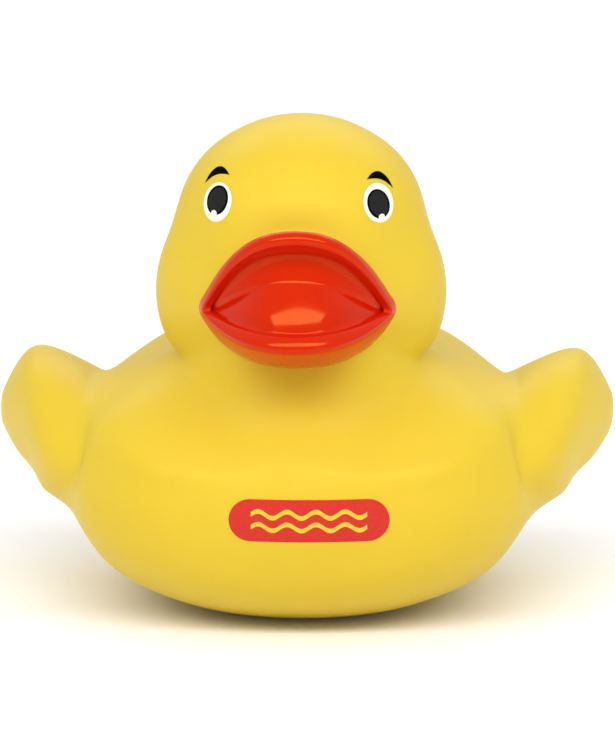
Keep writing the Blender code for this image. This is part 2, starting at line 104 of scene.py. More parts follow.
# The cage: how finely it is subdivided, how often its points are settled, how sharp its creases
# are, and which material a face has
SKIN_LEVELS = 3
SETTLE_PASSES = 8
WING_CREASE = 0.4
MOUTH_CREASE = 0.4
ON_MIDDLE = 1e-7
WELD = 0.00001
VINYL_SLOT, PAINT_SLOT = 0, 1

# Body sections from chest to rump: place along the body, then shares of the half width, of the
# back's rise and of the hull's drop, and the waterline's own lift as a share of the rise
BODY_SECTIONS = (
    (0.00, 0.420, 0.330, 0.460, 0.000),
    (0.06, 0.670, 0.560, 0.715, 0.000),
    (0.20, 0.885, 0.820, 0.920, 0.000),
    (0.36, 0.980, 0.955, 0.990, 0.000),
    (0.52, 1.000, 1.000, 1.000, 0.000),
    (0.68, 0.990, 0.988, 1.000, 0.000),
    (0.80, 0.955, 0.945, 0.996, 0.005),
    (0.90, 0.900, 0.870, 0.970, 0.015),
    (1.00, 0.795, 0.760, 0.880, 0.040),
)
# Tail sections behind the body: shares of the tail's length, rise, width and thickness, and the
# lean backwards in degrees
TAIL_SECTIONS = (
    (0.31, 0.20, 1.45, 1.42, 14),
    (0.60, 0.52, 1.00, 1.00, 26),
    (0.82, 0.82, 0.60, 0.62, 38),
    (0.94, 0.97, 0.30, 0.34, 46),
)

# Head rings from the neck to the crown: level, where -1 is the head's base, 0 the mouth corners, 1
# the bill's top and 2 the crown, and the shares of the width and of the depth
HEAD_RINGS = (
    (-1.00, 0.868, 0.790),
    (-0.46, 0.967, 0.890),
    (0.05, 0.994, 0.965),
    (0.44, 0.957, 1.000),
    (0.83, 0.876, 0.980),
    (1.26, 0.801, 0.890),
    (1.63, 0.624, 0.700),
    (1.88, 0.380, 0.420),
)

# Curves of the bill's outline over and under the corners: how square, and how pointed at the ends
BILL_CURVES = ((2.4, 0.9), (2.5, 0.7))
# Points round half the bill from the chin to the brow, as shares of its half width
BILL_SHARES = (0.0, 0.42, 0.75, 0.94, 1.0, 0.93, 0.72, 0.40, 0.0)
# Bill rings from the fillet on the face, out over the lip and into the mouth: shares of the
# width, of the upper rise and reach, of the lower drop and reach, and of the reach at the corners
BILL_RINGS = (
    (0.992, 0.960, 0.30, 0.945, -0.08, 0.10),
    (0.980, 1.070, 0.80, 0.620, 0.74, 0.26),
    (0.950, 0.985, 1.04, 0.420, 1.00, 0.38),
    (0.910, 0.873, 0.92, 0.240, 0.925, 0.38),
    (0.870, 0.800, 0.68, 0.190, 0.845, 0.37),
    (0.835, 0.700, 0.60, 0.105, 0.812, 0.36),
)
# Roof, mouth line and tongue inside the lips: share of the arch, and of the lower reach at the
# middle and part of the way to the corner
MOUTH_PART_WAY = 0.55
MOUTH_ROWS = (
    (0.30, 0.710, 0.585),
    (1.00, 0.500, 0.425),
    (1.34, 0.440, 0.385),
)

# Wing rings from the flank to the tip: share of the way out, back and up, of the chord, of the
# half thickness above and below, of the knob, and how far the top leans in over the bottom
WING_RINGS = (
    (0.05, 0.24, 0.08, 0.96, 0.90, 0.78, 0.7, 0.22),
    (0.40, 0.60, 0.68, 0.85, 0.83, 0.82, 0.7, 0.04),
    (0.70, 0.93, 0.86, 0.63, 0.64, 0.70, 0.2, 0.00),
    (0.92, 1.06, 0.78, 0.36, 0.31, 0.36, 0.0, 0.00),
)

# Faces round half the body and half the head, and where the neck, wing and bill leave them
AROUND = 10
NECK_SECTIONS = (1, 5)
NECK_ROW = 8
WING_SECTIONS = (3, 7)
WING_ROWS = (4, 7)
HEAD_AROUND = 8
BILL_HEAD_RINGS = (0, 4)
BILL_COLUMNS = 2


def between(rows, at):
    """Read a table of rows sorted by their first number, straight between its rows."""
    at = min(max(at, rows[0][0]), rows[-1][0])
    for low, high in zip(rows, rows[1:]):
        if at <= high[0]:
            share = (at - low[0]) / (high[0] - low[0])
            return [a + (b - a) * share for a, b in zip(low, high)]
    return list(rows[-1])


def rounded(u, v):
    """Move a point of the square from -1 to 1 onto the disc of radius 1."""
    return u * math.sqrt(1.0 - v * v / 2.0), v * math.sqrt(1.0 - u * u / 2.0)


class Cage:
    """Half a cage at x >= 0: the points its smooth surface passes through, and its faces."""

    def __init__(self):
        self.points = []
        self.faces = []
        self.painted = set()
        self.creases = []
        self.loose = set()

    def add(self, x, y, z):
        self.points.append(Vector((x, y, z)))
        return len(self.points) - 1

    def move(self, index, x, y, z):
        self.points[index] = Vector((x, y, z))

    def face(self, corners, painted=False):
        if painted:
            self.painted.add(len(self.faces))
        self.faces.append(tuple(corners))

    def band(self, first, second, closed=False, painted=False, skip=()):
        """Join two rings of as many points with four-sided faces."""
        count = len(first) if closed else len(first) - 1
        for i in range(count):
            if i not in skip:
                j = (i + 1) % len(first)
                self.face((first[i], first[j], second[j], second[i]), painted)

    def grid(self, rows, painted=False):
        for first, second in zip(rows, rows[1:]):
            self.band(first, second, painted=painted)

    def half_cap(self, loop, place, painted=False):
        """Close a half ring with a grid two columns wide, new points set by place(u, v)."""
        rows = len(loop) - 5
        lines = [[loop[0], loop[1], loop[2]]]
        for row in range(1, rows):
            v = 2.0 * row / rows - 1.0
            lines.append([self.add(*place(0.0, v)), self.add(*place(0.5, v)), loop[row + 2]])
        lines.append([loop[-1], loop[-2], loop[-3]])
        self.grid(lines, painted)
        if not painted:  # a rounded end keeps its points where they are drawn
            self.loose.update(index for line in lines for index in line)
        return lines

    def settle(self, passes):
        """Find the cage whose smooth surface passes through the drawn points."""
        around = [set() for _ in self.points]
        across = [[] for _ in self.points]
        for corners in self.faces:
            for i, index in enumerate(corners):
                around[index].update((corners[i - 1], corners[(i + 1) % 4]))
                across[index].append(corners[(i + 2) % 4])
        targets = [point.copy() for point in self.points]
        on_plane = [abs(point.x) < ON_MIDDLE for point in self.points]
        flip = Vector((-1.0, 1.0, 1.0))
        for _ in range(passes):
            moved = []
            for index, point in enumerate(self.points):
                if index in self.loose or not around[index]:
                    moved.append(point)
                    continue
                edges = [self.points[i] for i in around[index]]
                faces = [self.points[i] for i in across[index]]
                if on_plane[index]:
                    edges += [self.points[i] * flip for i in around[index] if not on_plane[i]]
                    faces += [other * flip for other in faces]
                n = len(edges)
                limit = (point * n * n + 4.0 * sum(edges, Vector()) + sum(faces, Vector()))
                limit /= n * (n + 5)
                fixed = point + targets[index] - limit
                if on_plane[index]:
                    fixed.x = 0.0
                moved.append(fixed)
            self.points = moved

    def mesh(self, name):
        """Turn the cage into a mesh with its faces outward."""
        shell = bmesh.new()
        corners = [shell.verts.new(point) for point in self.points]
        for number, face in enumerate(self.faces):
            made = shell.faces.new([corners[i] for i in face])
            made.material_index = PAINT_SLOT if number in self.painted else VINYL_SLOT
            made.smooth = True
        unused = [corner for corner in corners if not corner.link_faces]
        bmesh.ops.recalc_face_normals(shell, faces=shell.faces)
        if shell.calc_volume(signed=True) < 0.0:
            bmesh.ops.reverse_faces(shell, faces=shell.faces)
        crease = shell.edges.layers.float.new("crease_edge")
        for a, b, amount in self.creases:
            edge = shell.edges.get((corners[a], corners[b]))
            edge[crease] = amount
        bmesh.ops.delete(shell, geom=unused, context="VERTS")
        made = bpy.data.meshes.new(name)
        shell.to_mesh(made)
        shell.free()
        return made


def full(share):
    """Height of a rounded section at a share of its half width, a little fuller than a circle."""
    return max(0.0, 1.0 - abs(share) ** BODY_FULLNESS) ** (1.0 / BODY_FULLNESS)


def body_section(y):
    """Half width, back rise, hull drop and waterline of the body at a place along it."""
    share = (y - BODY_FRONT) / BODY_LENGTH
    _, width, rise, drop, lift = between(BODY_SECTIONS, share)
    return (width * BODY_WIDTH / 2.0, rise * BACK_RISE, drop * HULL_DROP,
            WATERLINE + lift * BACK_RISE)


def body_top(x, y):
    half, rise, _, line = body_section(y)
    return line + rise * full(x / half)


def flank(y, z):
    half, rise, drop, line = body_section(y)
    return half * full((z - line) / (rise if z > line else drop))


def head_height(level):
    """Height of a level of the head, which stretches and closes up round the bill."""
    marks = ((-1.0, HEAD_BASE), (0.0, BILL_HEIGHT), (1.0, BILL_HEIGHT + BILL_RISE), (2.0, HEAD_TOP))
    return between(marks, level)[1]


def head_ring(z):
    """Half width and half depth of the head at a height."""
    rows = [(head_height(level), width, depth) for level, width, depth in HEAD_RINGS]
    _, width, depth = between(rows, z)
    return width * HEAD_WIDTH / 2.0, depth * HEAD_DEPTH / 2.0


def face_y(x, z):
    """Front of the head at a place across and up it."""
    half, depth = head_ring(z)
    return HEAD_Y - depth * math.sqrt(max(0.0, 1.0 - (x / half) ** 2))


def bill_outline(share, rise, drop, upper):
    """Height over the mouth corners of a point of the bill's outline."""
    square, point = BILL_CURVES[0 if upper else 1]
    return (rise if upper else -drop) * (1.0 - share ** square) ** point


def draw_body(cage):
    """Loft the body and tail, leaving out the faces that the neck and wing grow from."""
    rings = []
    for place, *_ in BODY_SECTIONS:
        y = BODY_FRONT + place * BODY_LENGTH
        half, rise, drop, line = body_section(y)
        ring = []
        for row in range(AROUND + 1):
            angle = math.pi * row / AROUND
            across = math.sin(angle) ** (2.0 / BODY_FULLNESS)
            up = math.copysign(abs(math.cos(angle)) ** (2.0 / BODY_FULLNESS), row - AROUND / 2)
            ring.append(cage.add(half * across, y, line + up * (rise if up > 0.0 else drop)))
        rings.append(ring)
    rump = BODY_FRONT + BODY_LENGTH
    for length, lift, width, thickness, lean in TAIL_SECTIONS:
        lean = math.radians(lean)
        ring = []
        for row in range(AROUND + 1):
            angle = math.pi * row / AROUND
            up = -math.cos(angle) * thickness * TAIL_THICKNESS / 2.0
            ring.append(cage.add(
                width * TAIL_WIDTH / 2.0 * math.sin(angle),
                rump + length * TAIL_LENGTH - up * math.sin(lean),
                WATERLINE + lift * TAIL_RISE + up * math.cos(lean)))
        rings.append(ring)

    neck = range(NECK_SECTIONS[0], NECK_SECTIONS[1])
    wing = range(WING_SECTIONS[0], WING_SECTIONS[1])
    for number, (first, second) in enumerate(zip(rings, rings[1:])):
        skip = set()
        if number in neck:
            skip.update(range(NECK_ROW, AROUND))
        if number in wing:
            skip.update(range(*WING_ROWS))
        cage.band(first, second, skip=skip)
    return rings


def close_body(cage, rings):
    """Cap the chest and the tail tip."""
    half, rise, drop, line = body_section(BODY_FRONT)

    def chest(u, v):
        across, up = rounded(u, v)
        bulge = 1.0 - across ** 2 - up ** 2
        return (across * half, BODY_FRONT - CHEST_BULGE * bulge,
                line + up * (rise if up > 0.0 else drop))

    cage.half_cap(rings[0], chest)

    length, lift, width, thickness, lean = TAIL_SECTIONS[-1]
    lean = math.radians(lean)
    rump = BODY_FRONT + BODY_LENGTH
    tip = (1.0 - length) * TAIL_LENGTH

    def tail(u, v):
        across, up = rounded(u, v)
        out = tip * (1.0 - across ** 2 - up ** 2)
        up *= thickness * TAIL_THICKNESS / 2.0
        return (across * width * TAIL_WIDTH / 2.0,
                rump + length * TAIL_LENGTH - up * math.sin(lean) + out * math.cos(lean),
                WATERLINE + lift * TAIL_RISE + up * math.cos(lean) + out * math.sin(lean))

    cage.half_cap(rings[-1], tail)


def draw_head(cage, rings):
    """Raise the head out of the shoulders, leaving out the faces that the bill grows from."""
    first, last = NECK_SECTIONS
    loop = [rings[first][row] for row in range(AROUND, NECK_ROW - 1, -1)]
    loop += [rings[section][NECK_ROW] for section in range(first + 1, last)]
    loop += [rings[last][row] for row in range(NECK_ROW, AROUND + 1)]
    for place, index in enumerate(loop):
        angle = math.pi * place / HEAD_AROUND
        x = NECK_WIDTH / 2.0 * math.sin(angle)
        y = NECK_Y - NECK_DEPTH / 2.0 * math.cos(angle)
        cage.move(index, x if 0 < place < HEAD_AROUND else 0.0, y, body_top(x, y) - NECK_GROOVE)

    head = [loop]
    for level, _, _ in HEAD_RINGS:
        z = head_height(level)
        fade = (HEAD_TOP - z) / (HEAD_TOP - HEAD_BASE)
        ring = []
        for place in range(HEAD_AROUND + 1):
            angle = math.pi * place / HEAD_AROUND
            behind = (1.0 - math.cos(angle)) / 2.0
            height = z + NAPE_RISE * behind ** 2 * fade ** 2
            half, depth = head_ring(height)
            x = half * math.sin(angle) if 0 < place < HEAD_AROUND else 0.0
            ring.append(cage.add(x, HEAD_Y - depth * math.cos(angle), height))
        head.append(ring)

    for number, (low, high) in enumerate(zip(head, head[1:])):
        opened = BILL_HEAD_RINGS[0] < number <= BILL_HEAD_RINGS[1]
        cage.band(low, high, skip=range(BILL_COLUMNS) if opened else ())

    edge = head_height(HEAD_RINGS[-1][0])
    half, depth = head_ring(edge)

    def crown(u, v):
        across, along = rounded(u, v)
        top = edge + (HEAD_TOP - edge) * (1.0 - across ** 2 - along ** 2)
        return across * half, HEAD_Y + along * depth, top

    cage.half_cap(head[-1], crown)
    return head[1:]


def draw_bill(cage, head):
    """Pull the bill out of the face: over the lips, into the mouth and across the tongue."""
    low, high = BILL_HEAD_RINGS
    loop = [head[low][column] for column in range(BILL_COLUMNS + 1)]
    loop += [head[ring][BILL_COLUMNS] for ring in range(low + 1, high)]
    loop += [head[high][column] for column in range(BILL_COLUMNS, -1, -1)]
    corner = len(BILL_SHARES) // 2
    half = BILL_WIDTH / 2.0
    for place, (index, share) in enumerate(zip(loop, BILL_SHARES)):
        z = BILL_HEIGHT + bill_outline(share, BILL_RISE, BILL_DROP, place > corner)
        cage.move(index, half * share, face_y(half * share, z), z)

    top = face_y(0.0, BILL_HEIGHT + BILL_RISE)
    side = face_y(half, BILL_HEIGHT)
    previous = loop
    for width, rise, upper_reach, drop, lower_reach, side_reach in BILL_RINGS:
        ring = []
        for place, share in enumerate(BILL_SHARES):
            upper = place > corner
            middle = top - (upper_reach * UPPER_LIP_REACH if upper
                            else lower_reach * LOWER_LIP_REACH)
            edge = side - side_reach * UPPER_LIP_REACH
            y = middle + (edge - middle) * share ** 2
            z = BILL_HEIGHT + bill_outline(share, rise * BILL_RISE, drop * BILL_DROP, upper)
            ring.append(cage.add(half * width * share, y, z))
        cage.band(previous, ring, painted=True)
        previous = ring

    rows = {-0.5: MOUTH_ROWS[0], 0.0: MOUTH_ROWS[1], 0.5: MOUTH_ROWS[2]}
    width = half * BILL_RINGS[-1][0]

    def mouth(u, v):
        arch, centre, middle = rows[v]
        x = MOUTH_PART_WAY * width if u else 0.0
        y = (top + (side - top) * (x / width) ** 2) - LOWER_LIP_REACH * (middle if u else centre)
        return x, y, BILL_HEIGHT + MOUTH_ARCH * arch * (1.0 - (x / width) ** 2)

    lines = cage.half_cap(previous, mouth, painted=True)
    for a, b in zip(lines[2], lines[2][1:]):
        cage.creases.append((a, b, MOUTH_CREASE))


def draw_wing(cage, rings):
    """Pull a wing out of the flank, swept back and up to a knob at its tip."""
    (first, last), (low, high) = WING_SECTIONS, WING_ROWS
    chordwise, upright = last - first, high - low
    loop, places = [], []
    for section in range(first, last):
        loop.append(rings[section][low])
        places.append((2.0 * (section - first) / chordwise - 1.0, -1.0))
    for row in range(low, high):
        loop.append(rings[last][row])
        places.append((1.0, 2.0 * (row - low) / upright - 1.0))
    for section in range(last, first, -1):
        loop.append(rings[section][high])
        places.append((2.0 * (section - first) / chordwise - 1.0, 1.0))
    for row in range(high, low, -1):
        loop.append(rings[first][row])
        places.append((-1.0, 2.0 * (row - low) / upright - 1.0))

    for index, (u, v) in zip(loop, places):
        along, up = rounded(u, v)
        y = WING_Y + along * WING_CHORD / 2.0
        z = WING_HEIGHT + up * WING_THICKNESS / 2.0
        cage.move(index, flank(y, z), y, z)
    for (a, above), (b, beyond) in zip(zip(loop, places), zip(loop[1:], places[1:])):
        if above[1] == beyond[1] == 1.0:
            cage.creases.append((a, b, WING_CREASE))

    root = BODY_WIDTH / 2.0

    def spot(ring, u, v, out=0.0):
        outward, back, lift, chord, rise, drop, knob, lean = ring
        along, up = rounded(u, v)
        thick = (rise if up > 0.0 else drop) * WING_THICKNESS / 2.0
        raised = knob * WING_KNOB * max(0.0, up)
        return (root + WING_REACH * (outward - lean * up + out * (1.0 - along ** 2 - up ** 2)),
                WING_Y + back * WING_SWEEP + along * chord * WING_CHORD / 2.0,
                WING_HEIGHT + lift * WING_LIFT + up * thick + raised)

    previous = loop
    for ring in WING_RINGS:
        made = [cage.add(*spot(ring, u, v)) for u, v in places]
        cage.band(previous, made, closed=True)
        previous = made

    tip = WING_RINGS[-1]
    known = dict(zip(places, previous))
    lines = []
    for row in range(upright + 1):
        v = 2.0 * row / upright - 1.0
        line = []
        for column in range(chordwise + 1):
            u = 2.0 * column / chordwise - 1.0
            inside = 0 < row < upright and 0 < column < chordwise
            line.append(cage.add(*spot(tip, u, v, 1.0 - tip[0])) if inside else known[(u, v)])
        lines.append(line)
    cage.grid(lines)


def draw_duck():
    """Draw the whole half cage."""
    cage = Cage()
    rings = draw_body(cage)
    close_body(cage, rings)
    draw_bill(cage, draw_head(cage, rings))
    draw_wing(cage, rings)
    cage.settle(SETTLE_PASSES)
    return cage


# The flat base, and the stepped hole in it that the squeaker is snapped into
WALL = 0.0022
HOLE_RADIUS = 0.0050
FLANGE_RADIUS = 0.0066
FLANGE_THICKNESS = 0.0010
FLANGE_SINK = 0.0003
CLEARANCE = 0.0003
BARREL_LENGTH = 0.0085
TURN_STEPS = 96
SHARP_EDGE = math.radians(50)


def shown(name, mesh, materials=()):
    """Put a mesh in the scene as a piece of its own."""
    for material in materials:
        mesh.materials.append(material)
    piece = bpy.data.objects.new(name, mesh)
    bpy.context.scene.collection.objects.link(piece)
    return piece


def finished(piece):
    """Turn a piece with live modifiers into its plain mesh."""
    bpy.context.view_layer.update()
    depsgraph = bpy.context.evaluated_depsgraph_get()
    mesh = bpy.data.meshes.new_from_object(piece.evaluated_get(depsgraph))
    piece.modifiers.clear()
    old, piece.data = piece.data, mesh
    bpy.data.meshes.remove(old)
    mesh.name = piece.name


def turned(name, profile):
    """Turn a closed profile of (radius, height) points, outer side downward, round Z."""
    shape = bmesh.new()
    corners = [shape.verts.new((radius, 0.0, height)) for radius, height in profile]
    for a, b in zip(corners, corners[1:]):
        shape.edges.new((a, b))
    if profile[0][0] > 0.0:
        shape.edges.new((corners[-1], corners[0]))
    mesh = bpy.data.meshes.new(name)
    shape.to_mesh(mesh)
    shape.free()
    piece = shown(name, mesh)
    screw = piece.modifiers.new("Screw", "SCREW")
    screw.axis = "Z"
    screw.angle = math.tau
    screw.steps = TURN_STEPS
    screw.render_steps = TURN_STEPS
    screw.use_merge_vertices = True
    screw.merge_threshold = WELD
    screw.use_smooth_shade = True
    return piece


def trim(piece, cutter):
    """Cut one closed piece out of another."""
    boolean = piece.modifiers.new("Trim", "BOOLEAN")
    boolean.operation = "DIFFERENCE"
    boolean.solver = "EXACT"
    boolean.object = cutter


skin = shown("duck_skin", draw_duck().mesh("duck_skin"))
halves = skin.modifiers.new("Mirror", "MIRROR")
halves.use_clip = True
halves.merge_threshold = WELD
curved = skin.modifiers.new("Subdivision", "SUBSURF")
curved.levels = SKIN_LEVELS
curved.render_levels = SKIN_LEVELS

bench = bmesh.new()
bmesh.ops.create_cube(bench, size=1.0)
bmesh.ops.scale(bench, verts=bench.verts, vec=(BODY_WIDTH * 2.0, BODY_WIDTH * 2.0, WALL))
bmesh.ops.translate(bench, verts=bench.verts, vec=(0.0, 0.0, -WALL / 2.0))
slab_mesh = bpy.data.meshes.new("slab")
bench.to_mesh(slab_mesh)
bench.free()
slab = shown("slab", slab_mesh)
trim(skin, slab)

shelf = FLANGE_SINK + FLANGE_THICKNESS + CLEARANCE
bore_top = FLANGE_SINK + BARREL_LENGTH + WALL
bore = turned("bore", (
    (0.0, bore_top),
    (HOLE_RADIUS, bore_top),
    (HOLE_RADIUS, shelf),
    (FLANGE_RADIUS + CLEARANCE, shelf),
    (FLANGE_RADIUS + CLEARANCE, -WALL),
    (0.0, -WALL),
))
trim(skin, bore)
finished(skin)
for cutter in (slab, bore):
    bpy.data.objects.remove(cutter, do_unlink=True)

# Bring the skin onto the moulding: its middle on the moulding's, and no part outside its corners
low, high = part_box("duck_body")
reach = [[corner.co[axis] for corner in skin.data.vertices] for axis in range(3)]
squeeze = [min(1.0, (high[axis] - low[axis]) / (max(reach[axis]) - min(reach[axis])))
           for axis in range(3)]
slide = (low.y + high.y) / 2.0 - (min(reach[1]) + max(reach[1])) / 2.0 * squeeze[1]
for corner in skin.data.vertices:
    corner.co = (corner.co.x * squeeze[0], corner.co.y * squeeze[1] + slide,
                 corner.co.z * squeeze[2])

# The bill is sprayed through a mask: each corner of the mesh knows how far inside the mask's
# edge it lies, in millimetres, and how heavily the paint covers it there. The paint thins out
# over a few millimetres under the chin, and over next to nothing on top
MILLIMETRES = 1000.0
BLUR_ON_TOP = 0.05
BLUR_UNDER_CHIN = 5.0
CHIN_BLEND = 0.0030

painted = set()
plain = set()
edge_faces = {}
for face in skin.data.polygons:
    (painted if face.material_index == PAINT_SLOT else plain).update(face.vertices)
    for key in face.edge_keys:
        edge_faces.setdefault(key, set()).add(face.material_index)
rim = [skin.data.vertices[index].co
       for key, sides in edge_faces.items() if len(sides) == 2 for index in key]
nearest_rim = KDTree(len(rim))
for number, place in enumerate(rim):
    nearest_rim.insert(place, number)
nearest_rim.balance()
mask = skin.data.attributes.new("mask_depth", "FLOAT", "POINT")
cover = skin.data.attributes.new("paint_cover", "FLOAT", "POINT")
for number, corner in enumerate(skin.data.vertices):
    away = nearest_rim.find(corner.co)[2] * MILLIMETRES
    inside = number in painted
    edge = inside and number in plain
    mask.data[number].value = 0.0 if edge else away if inside else -away
    under = min(1.0, max(0.0, (BILL_HEIGHT + CHIN_BLEND - corner.co.z) / (2.0 * CHIN_BLEND)))
    blur = BLUR_ON_TOP + (BLUR_UNDER_CHIN - BLUR_ON_TOP) * under
    cover.data[number].value = min(1.0, away / blur) if inside else 0.0
for face in skin.data.polygons:
    face.use_smooth = True
skin.data.set_sharp_from_angle(angle=SHARP_EDGE)


# Nearly all of a noise lies between these values, and a colour mix has these sockets
NOISE_LOW, NOISE_HIGH = 0.3, 0.7
MIX_FACTOR, MIX_FIRST, MIX_SECOND, MIX_RESULT = 0, 6, 7, 2


class Finish:
    """A material's node tree, with short ways to add and join its nodes."""

    def __init__(self, name):
        self.material = bpy.data.materials.new(name)
        self.material.use_nodes = True
        self.nodes = self.material.node_tree.nodes
        self.links = self.material.node_tree.links
        self.shader = self.nodes["Principled BSDF"]
        self.place = self.add("ShaderNodeTexCoord").outputs["Object"]

    def add(self, kind, **values):
        node = self.nodes.new(kind)
        for name, value in values.items():
            setattr(node, name, value)
        return node

    def put(self, socket, value):
        if isinstance(value, bpy.types.NodeSocket):
            self.links.new(value, socket)
        else:
            socket.default_value = value

    def set(self, **values):
        for name, value in values.items():
            self.put(self.shader.inputs[name.replace("_", " ")], value)

    def noise(self, scale, detail=2.0):
        node = self.add("ShaderNodeTexNoise")
        self.put(node.inputs["Vector"], self.place)
        node.inputs["Scale"].default_value = scale
        node.inputs["Detail"].default_value = detail
        return node.outputs["Fac"]

    def spread(self, value, low, high, to_low=0.0, to_high=1.0, smooth=False):
        node = self.add("ShaderNodeMapRange",
                        interpolation_type="SMOOTHSTEP" if smooth else "LINEAR")
        for socket, number in zip(node.inputs, (value, low, high, to_low, to_high)):
            self.put(socket, number)
        return node.outputs[0]

    def uneven(self, scale, detail=2.0, low=0.0, high=1.0):
        """A value that wanders between two over the surface."""
        return self.spread(self.noise(scale, detail), NOISE_LOW, NOISE_HIGH, low, high)

    def sum(self, a, b, operation="ADD"):
        node = self.add("ShaderNodeMath", operation=operation)
        self.put(node.inputs[0], a)
        self.put(node.inputs[1], b)
        return node.outputs[0]

    def mix(self, factor, a, b):
        node = self.add("ShaderNodeMix", data_type="RGBA")
        self.put(node.inputs[MIX_FACTOR], factor)
        self.put(node.inputs[MIX_FIRST], a)
        self.put(node.inputs[MIX_SECOND], b)
        return node.outputs[MIX_RESULT]

    def attribute(self, name):
        return self.add("ShaderNodeAttribute", attribute_name=name).outputs["Fac"]

    def bump(self, height, distance, strength, under=None):
        node = self.add("ShaderNodeBump")
        node.inputs["Strength"].default_value = strength
        node.inputs["Distance"].default_value = distance
        self.put(node.inputs["Height"], height)
        if under is not None:
            self.put(node.inputs["Normal"], under)
        return node.outputs["Normal"]


# Colours, then how many times a metre the surface clouds, swells and pits, and how deep
VINYL_YELLOW = (0.665, 0.482, 0.032, 1.0)
VINYL_DEEP = (0.65, 0.436, 0.026, 1.0)
PAINT_RED = (0.53, 0.009, 0.0003, 1.0)
PAINT_THIN = (0.66, 0.035, 0.001, 1.0)
CLOUDS = 45.0
CLOUD_DEPTH = 0.35
SWELLS = 110.0
SWELL_HEIGHT = 0.00012
PITS = 1400.0
VINYL_PIT_HEIGHT = 0.000012
PAINT_PIT_HEIGHT = 0.000005
# How ragged the mask's edge is, and over how much of it the paint sets in, in millimetres
RAGGED = 0.05
PAINT_FROM, PAINT_FULL = 0.02, 0.14


def vinyl_yellow(finish):
    """The pigment of the vinyl, slightly clouded."""
    mottle = finish.spread(finish.noise(CLOUDS, 3.0), 0.35, 0.65)
    return finish.mix(finish.sum(mottle, CLOUD_DEPTH, "MULTIPLY"), VINYL_YELLOW, VINYL_DEEP)


def moulded(finish, pit_height):
    """The slow swells of a soft moulded wall, under fine pits."""
    swells = finish.bump(finish.noise(SWELLS, 1.0), SWELL_HEIGHT, 0.5)
    return finish.bump(finish.noise(PITS, 3.0), pit_height, 0.5, under=swells)


vinyl = Finish("duck vinyl")
vinyl.set(Base_Color=vinyl_yellow(vinyl),
          Roughness=vinyl.uneven(160.0, 4.0, 0.40, 0.48),
          Subsurface_Weight=0.35, Subsurface_Radius=(1.0, 0.55, 0.12), Subsurface_Scale=0.002,
          IOR=1.33, Specular_Tint=(1.0, 0.92, 0.50, 1.0),
          Normal=moulded(vinyl, VINYL_PIT_HEIGHT))

paint = Finish("bill paint")
ragged = paint.uneven(900.0, 3.0, -RAGGED, RAGGED)
past_mask = paint.spread(paint.sum(paint.attribute("mask_depth"), ragged),
                         PAINT_FROM, PAINT_FULL, smooth=True)
patchy = paint.uneven(500.0, low=-0.06, high=0.06)
heavy = paint.spread(paint.sum(paint.attribute("paint_cover"), patchy), 0.0, 1.0, smooth=True)
red = paint.mix(heavy, PAINT_THIN, PAINT_RED)
paint.set(Base_Color=paint.mix(past_mask, vinyl_yellow(paint), red),
          Roughness=paint.uneven(240.0, 3.0, 0.10, 0.15),
          Subsurface_Weight=0.25, Subsurface_Radius=(1.0, 0.15, 0.02), Subsurface_Scale=0.001,
          IOR=1.50, Specular_Tint=(1.0, 0.54, 0.13, 1.0),
          Normal=moulded(paint, PAINT_PIT_HEIGHT))
skin.data.materials.append(vinyl.material)
skin.data.materials.append(paint.material)
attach(skin, "root")
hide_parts("duck_body")


# The printed eyes and brows
# Pad-printed in five passes of ink on the moulded head: white ovals, black ovals, a dark grey
# middle in each, a small white catch-light at the bottom edge, and a black brow over each eye.

# The flat shapes are drawn for the duck's left side, in front of it, and pressed on from there
EYE_X = 0.01112
EYE_Z = 0.06060
EYE_WIDTH = 0.00388
EYE_HEIGHT = 0.00538
EYE_TILT = math.radians(19)
PUPIL_WIDTH = 0.00285
PUPIL_HEIGHT = 0.00407
PUPIL_TILT = math.radians(22)
PUPIL_RIM = 0.00024
LIGHT_OUT = 0.0004
LIGHT_DOWN = 0.00175
LIGHT_RADIUS = 0.00040
INK_FILM = 0.00002
INK_LIFT = 0.00002
INK_WELD = 0.000001
IN_FRONT = -0.06
# How far each pass of the pad lands off its height, on the duck's left and on its right
NO_SHIFT = (0.0, 0.0)
PUPIL_SHIFT = (-0.00012, 0.00026)
BROW_SHIFT = (0.0, 0.00048)


def oval(x, z, width, height, tilt, steps=48):
    """Points round an oval that leans by tilt towards x = 0 at its top."""
    points = []
    for step in range(steps):
        angle = math.tau * step / steps
        across, up = width / 2.0 * math.cos(angle), height / 2.0 * math.sin(angle)
        points.append((x + across * math.cos(tilt) - up * math.sin(tilt),
                       z + across * math.sin(tilt) + up * math.cos(tilt)))
    return points


def plate(shape, outline, rings, shifts):
    """Fill an outline round its own middle, once for each side that has a shift."""
    x = sum(point[0] for point in outline) / len(outline)
    z = sum(point[1] for point in outline) / len(outline)
    for side, shift in zip((1.0, -1.0), shifts):
        middle = shape.verts.new((side * x, IN_FRONT, z + shift))
        inner = None
        for ring in range(1, rings + 1):
            share = ring / rings
            outer = [shape.verts.new((side * (x + (a - x) * share), IN_FRONT,
                                      z + shift + (b - z) * share)) for a, b in outline]
            for i, corner in enumerate(outer):
                following = outer[(i + 1) % len(outer)]
                if inner is None:
                    loop = (middle, corner, following)
                else:
                    loop = (inner[i], corner, following, inner[(i + 1) % len(outer)])
                shape.faces.new(loop if side > 0.0 else tuple(reversed(loop)))
            inner = outer


